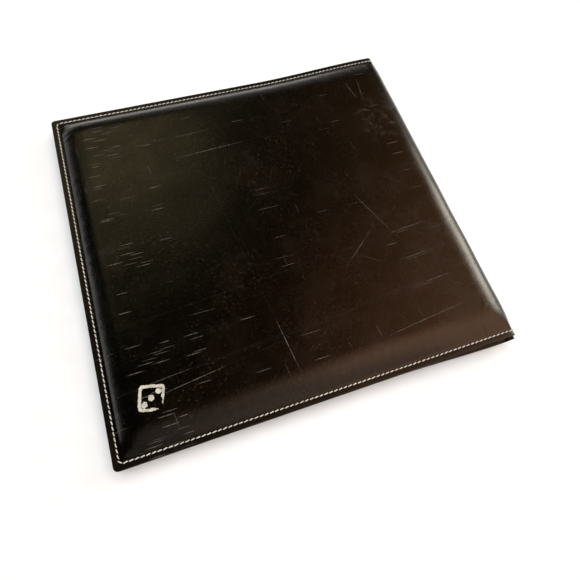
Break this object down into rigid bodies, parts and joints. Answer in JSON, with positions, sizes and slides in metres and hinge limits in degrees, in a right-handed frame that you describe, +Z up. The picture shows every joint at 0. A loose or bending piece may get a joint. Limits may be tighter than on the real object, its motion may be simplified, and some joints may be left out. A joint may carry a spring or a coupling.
{
  "type": "folding dice tray",
  "caption": "Padded leather case that closes like a book and opens flat on a soft spine into a shallow felt-lined dice tray with a wide sewn rim.",
  "frame": {"origin": "centre of the closed case's footprint, on the surface that it lies on", "axes": "+X towards the spine, +Y towards the back edge, +Z up out of the top cover"},
  "size_m": [0.3, 0.29, 0.022],
  "materials": {
    "cover_leather": "semi-gloss, grained, worn",
    "rim_leather": "satin, fine grain",
    "thread": "waxed twist",
    "felt": "matt wool felt",
    "foam": "open cell foam",
    "board": "grey-brown pressed board",
    "wall_core": "sanded fibreboard",
    "foil": "worn pale foil"
  },
  "bodies": {
    "bottom_leaf": {"bottom_cover_leather": "cover_leather", "bottom_cover_foam": "foam", "bottom_cover_board": "board", "bottom_felt": "felt", "bottom_rim_leather": "rim_leather", "bottom_stitching": "thread", "bottom_front_wall": "wall_core", "bottom_back_wall": "wall_core", "bottom_fore_edge_wall": "wall_core"},
    "spine": {"spine_leather": "cover_leather", "spine_foam": "foam", "spine_board": "board", "spine_lining": "felt", "spine_stitching": "thread", "spine_front_end_pad": "rim_leather", "spine_back_end_pad": "rim_leather"},
    "top_leaf": {"top_cover_leather": "cover_leather", "top_cover_foam": "foam", "top_cover_board": "board", "top_felt": "felt", "top_rim_leather": "rim_leather", "top_stitching": "thread", "top_front_wall": "wall_core", "top_back_wall": "wall_core", "top_fore_edge_wall": "wall_core", "foil_mark": "foil"}
  },
  "joints": [
    {"name": "spine_fold", "type": "hinge", "parent": "bottom_leaf", "child": "spine", "pos_m": [0.14828, 0, 0.00172], "axis": [0, 1, 0], "range_deg": [0, 90]},
    {"name": "lid_fold", "type": "hinge", "parent": "spine", "child": "top_leaf", "pos_m": [0.14828, 0, 0.02028], "axis": [0, 1, 0], "range_deg": [0, 90]}
  ],
  "couplings": [
    {"joint": "lid_fold", "follows": "spine_fold", "ratio": 1}
  ]
}
